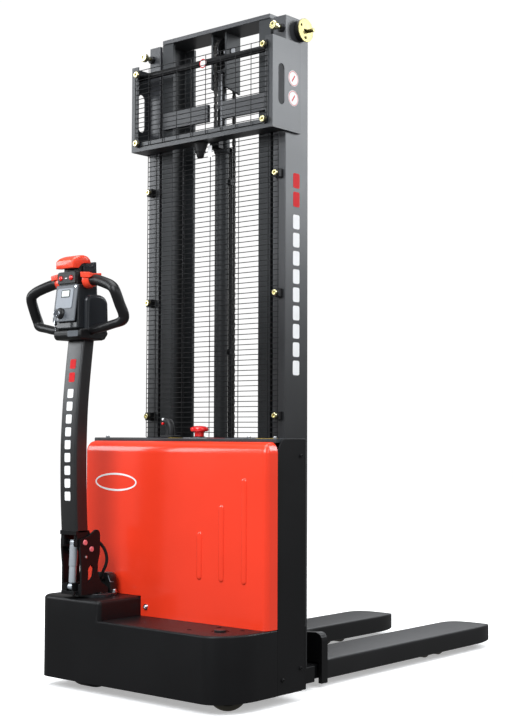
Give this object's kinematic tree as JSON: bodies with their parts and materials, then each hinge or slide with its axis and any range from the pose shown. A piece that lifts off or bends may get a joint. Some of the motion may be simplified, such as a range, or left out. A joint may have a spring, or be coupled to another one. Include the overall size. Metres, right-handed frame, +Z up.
{
  "type": "walkie stacker",
  "caption": "Pedestrian electric stacker with duplex mast, mesh guard, offset tiller with loop grips, red hood, low chassis shelf and forks over straddle legs.",
  "frame": {"origin": "on the floor under the middle of the bounding box", "axes": "+Z up, +Y along the forks towards their tips, +X to the right of an operator who faces the forks"},
  "size_m": [0.8666, 1.745, 2.1373],
  "materials": {
    "hood": "gloss orange-red paint",
    "chassis_black": "satin black powder coat",
    "mast_grey": "satin dark grey paint",
    "fork_grey": "satin dark grey paint, worn on top",
    "panel_grey": "fine textured grey moulding",
    "moulded_black": "satin black moulding",
    "control_red": "gloss red moulding",
    "bright_steel": "ground or plated steel",
    "yellow_zinc": "yellow zinc plating",
    "tyre_rubber": "black rubber tread",
    "urethane": "amber polyurethane",
    "guard_wire": "black painted wire",
    "battery_case": "dark blue-grey battery case"
  },
  "bodies": {
    "root": {"chassis": "chassis_black", "side_plate_left": "chassis_black", "side_plate_right": "chassis_black", "hood": "hood", "top_panel": "panel_grey", "battery_pack": "battery_case", "motor_controller": "bright_steel", "hydraulic_power_pack": "chassis_black", "outer_mast": "mast_grey", "mast_roller_cap_left": "yellow_zinc", "mast_roller_cap_right": "yellow_zinc", "mast_adjuster_left": "yellow_zinc", "mast_adjuster_right": "yellow_zinc", "base_beam": "chassis_black", "cylinder_barrel": "chassis_black", "chain_front": "bright_steel", "leg_left": "chassis_black", "leg_right": "chassis_black", "lower_guard": "guard_wire", "upper_guard": "mast_grey", "upper_guard_mesh": "guard_wire"},
    "emergency_stop": {"emergency_stop_button": "control_red"},
    "steer": {"turntable": "chassis_black", "drive_gearcase": "chassis_black", "drive_motor_cap": "moulded_black", "tiller_bracket": "chassis_black", "tiller_cable": "moulded_black"},
    "drive_wheel": {"drive_wheel_hub": "bright_steel", "drive_wheel_tyre": "tyre_rubber"},
    "tiller": {"tiller_arm": "chassis_black", "head_column": "panel_grey", "grip_left": "moulded_black", "grip_right": "moulded_black"},
    "spring_tube": {"gas_spring_tube": "bright_steel"},
    "spring_sleeve": {"gas_spring_sleeve": "bright_steel"},
    "belly_button": {"belly_button": "control_red"},
    "throttle": {"butterfly_throttle": "control_red"},
    "lift_button": {"lift_button": "control_red"},
    "lower_button": {"lower_button": "control_red"},
    "key": {"ignition_key": "bright_steel"},
    "inner_mast": {"inner_mast": "mast_grey", "piston_rod": "bright_steel", "chain_wrap": "bright_steel", "chain_rear": "bright_steel"},
    "pulley": {"chain_pulley": "bright_steel"},
    "carriage": {"carriage_frame": "mast_grey", "fork_left": "fork_grey", "fork_right": "fork_grey"},
    "caster": {"caster_fork": "bright_steel"},
    "caster_wheel": {"caster_wheel": "urethane"},
    "carriage_roller_low_left": {"carriage_roller_low_left": "bright_steel"},
    "carriage_roller_low_right": {"carriage_roller_low_right": "bright_steel"},
    "carriage_roller_high_left": {"carriage_roller_high_left": "bright_steel"},
    "carriage_roller_high_right": {"carriage_roller_high_right": "bright_steel"},
    "bogie_left": {"bogie_left": "bright_steel"},
    "load_roller_left_1": {"load_roller_left_1": "urethane"},
    "load_roller_left_2": {"load_roller_left_2": "urethane"},
    "bogie_right": {"bogie_right": "bright_steel"},
    "load_roller_right_1": {"load_roller_right_1": "urethane"},
    "load_roller_right_2": {"load_roller_right_2": "urethane"}
  },
  "joints": [
    {"name": "emergency_stop_press", "type": "slide", "parent": "root", "child": "emergency_stop", "axis": [0, 0, -1], "range_m": [0, 0.006]},
    {"name": "steer_turn", "type": "hinge", "parent": "root", "child": "steer", "pos_m": [-0.21565, -0.6945, 0.29], "axis": [0, 0, 1], "range_deg": [-90, 90]},
    {"name": "drive_wheel_spin", "type": "hinge", "parent": "steer", "child": "drive_wheel", "pos_m": [-0.21565, -0.6945, 0.092], "axis": [1, 0, 0], "continuous": true},
    {"name": "tiller_tilt", "type": "hinge", "parent": "steer", "child": "tiller", "pos_m": [-0.21565, -0.7525, 0.438], "axis": [1, 0, 0], "range_deg": [0, 75], "stiffness_Nm_per_rad": 80, "springref_deg": -22.92},
    {"name": "spring_tilt", "type": "hinge", "parent": "steer", "child": "spring_tube", "pos_m": [-0.21565, -0.7895, 0.322], "axis": [1, 0, 0], "range_deg": [-1.8, 0.1]},
    {"name": "spring_slide", "type": "slide", "parent": "spring_tube", "child": "spring_sleeve", "axis": [0, 0.0431, 0.9991], "range_m": [-0.0475, 0.0005]},
    {"name": "belly_button_press", "type": "slide", "parent": "tiller", "child": "belly_button", "axis": [0, 0, -1], "range_m": [0, 0.007], "stiffness_N_per_m": 900, "springref_m": -0.006},
    {"name": "throttle_turn", "type": "hinge", "parent": "tiller", "child": "throttle", "pos_m": [-0.21565, -0.7875, 1.28], "axis": [1, 0, 0], "range_deg": [-22, 22], "stiffness_Nm_per_rad": 0.6},
    {"name": "lift_button_press", "type": "slide", "parent": "tiller", "child": "lift_button", "axis": [0, 1, 0], "range_m": [0, 0.003], "stiffness_N_per_m": 400, "springref_m": -0.002},
    {"name": "lower_button_press", "type": "slide", "parent": "tiller", "child": "lower_button", "axis": [0, 1, 0], "range_m": [0, 0.003], "stiffness_N_per_m": 400, "springref_m": -0.002},
    {"name": "key_turn", "type": "hinge", "parent": "tiller", "child": "key", "pos_m": [-0.23165, -0.8425, 1.176], "axis": [0, 1, 0], "range_deg": [0, 60]},
    {"name": "mast_lift", "type": "slide", "parent": "root", "child": "inner_mast", "axis": [0, 0, 1], "range_m": [0, 1.55], "deforming": ["chain_front"]},
    {"name": "pulley_spin", "type": "hinge", "parent": "inner_mast", "child": "pulley", "pos_m": [0.03335, -0.3605, 2.062], "axis": [1, 0, 0], "range_deg": [0, 1935]},
    {"name": "carriage_lift", "type": "slide", "parent": "inner_mast", "child": "carriage", "axis": [0, 0, 1], "range_m": [0, 1.55], "deforming": ["chain_rear"]},
    {"name": "caster_swivel", "type": "hinge", "parent": "root", "child": "caster", "pos_m": [0.32935, -0.7025, 0.21], "axis": [0, 0, 1], "continuous": true},
    {"name": "caster_spin", "type": "hinge", "parent": "caster", "child": "caster_wheel", "pos_m": [0.3457, -0.68778, 0.06], "axis": [0.6691, -0.7431, 0], "continuous": true},
    {"name": "carriage_roller_low_left_spin", "type": "hinge", "parent": "carriage", "child": "carriage_roller_low_left", "pos_m": [-0.17665, -0.355, 0.15], "axis": [1, 0, 0], "continuous": true},
    {"name": "carriage_roller_low_right_spin", "type": "hinge", "parent": "carriage", "child": "carriage_roller_low_right", "pos_m": [0.24335, -0.355, 0.15], "axis": [1, 0, 0], "continuous": true},
    {"name": "carriage_roller_high_left_spin", "type": "hinge", "parent": "carriage", "child": "carriage_roller_high_left", "pos_m": [-0.17665, -0.355, 0.47], "axis": [1, 0, 0], "continuous": true},
    {"name": "carriage_roller_high_right_spin", "type": "hinge", "parent": "carriage", "child": "carriage_roller_high_right", "pos_m": [0.24335, -0.355, 0.47], "axis": [1, 0, 0], "continuous": true},
    {"name": "bogie_left_tilt", "type": "hinge", "parent": "root", "child": "bogie_left", "pos_m": [-0.18865, 0.5005, 0.045], "axis": [1, 0, 0], "range_deg": [-2.5, 2.5]},
    {"name": "load_roller_left_1_spin", "type": "hinge", "parent": "bogie_left", "child": "load_roller_left_1", "pos_m": [-0.18865, 0.4555, 0.037], "axis": [1, 0, 0], "continuous": true},
    {"name": "load_roller_left_2_spin", "type": "hinge", "parent": "bogie_left", "child": "load_roller_left_2", "pos_m": [-0.18865, 0.5455, 0.037], "axis": [1, 0, 0], "continuous": true},
    {"name": "bogie_right_tilt", "type": "hinge", "parent": "root", "child": "bogie_right", "pos_m": [0.25535, 0.5005, 0.045], "axis": [1, 0, 0], "range_deg": [-2.5, 2.5]},
    {"name": "load_roller_right_1_spin", "type": "hinge", "parent": "bogie_right", "child": "load_roller_right_1", "pos_m": [0.25535, 0.4555, 0.037], "axis": [1, 0, 0], "continuous": true},
    {"name": "load_roller_right_2_spin", "type": "hinge", "parent": "bogie_right", "child": "load_roller_right_2", "pos_m": [0.25535, 0.5455, 0.037], "axis": [1, 0, 0], "continuous": true}
  ],
  "couplings": [
    {"joint": "spring_tilt", "follows": "tiller_tilt", "ratio": -0.0233},
    {"joint": "spring_slide", "follows": "tiller_tilt", "m_per_rad": -0.0358},
    {"joint": "carriage_lift", "follows": "mast_lift", "ratio": 1},
    {"joint": "pulley_spin", "follows": "mast_lift", "rad_per_m": 21.7}
  ]
}
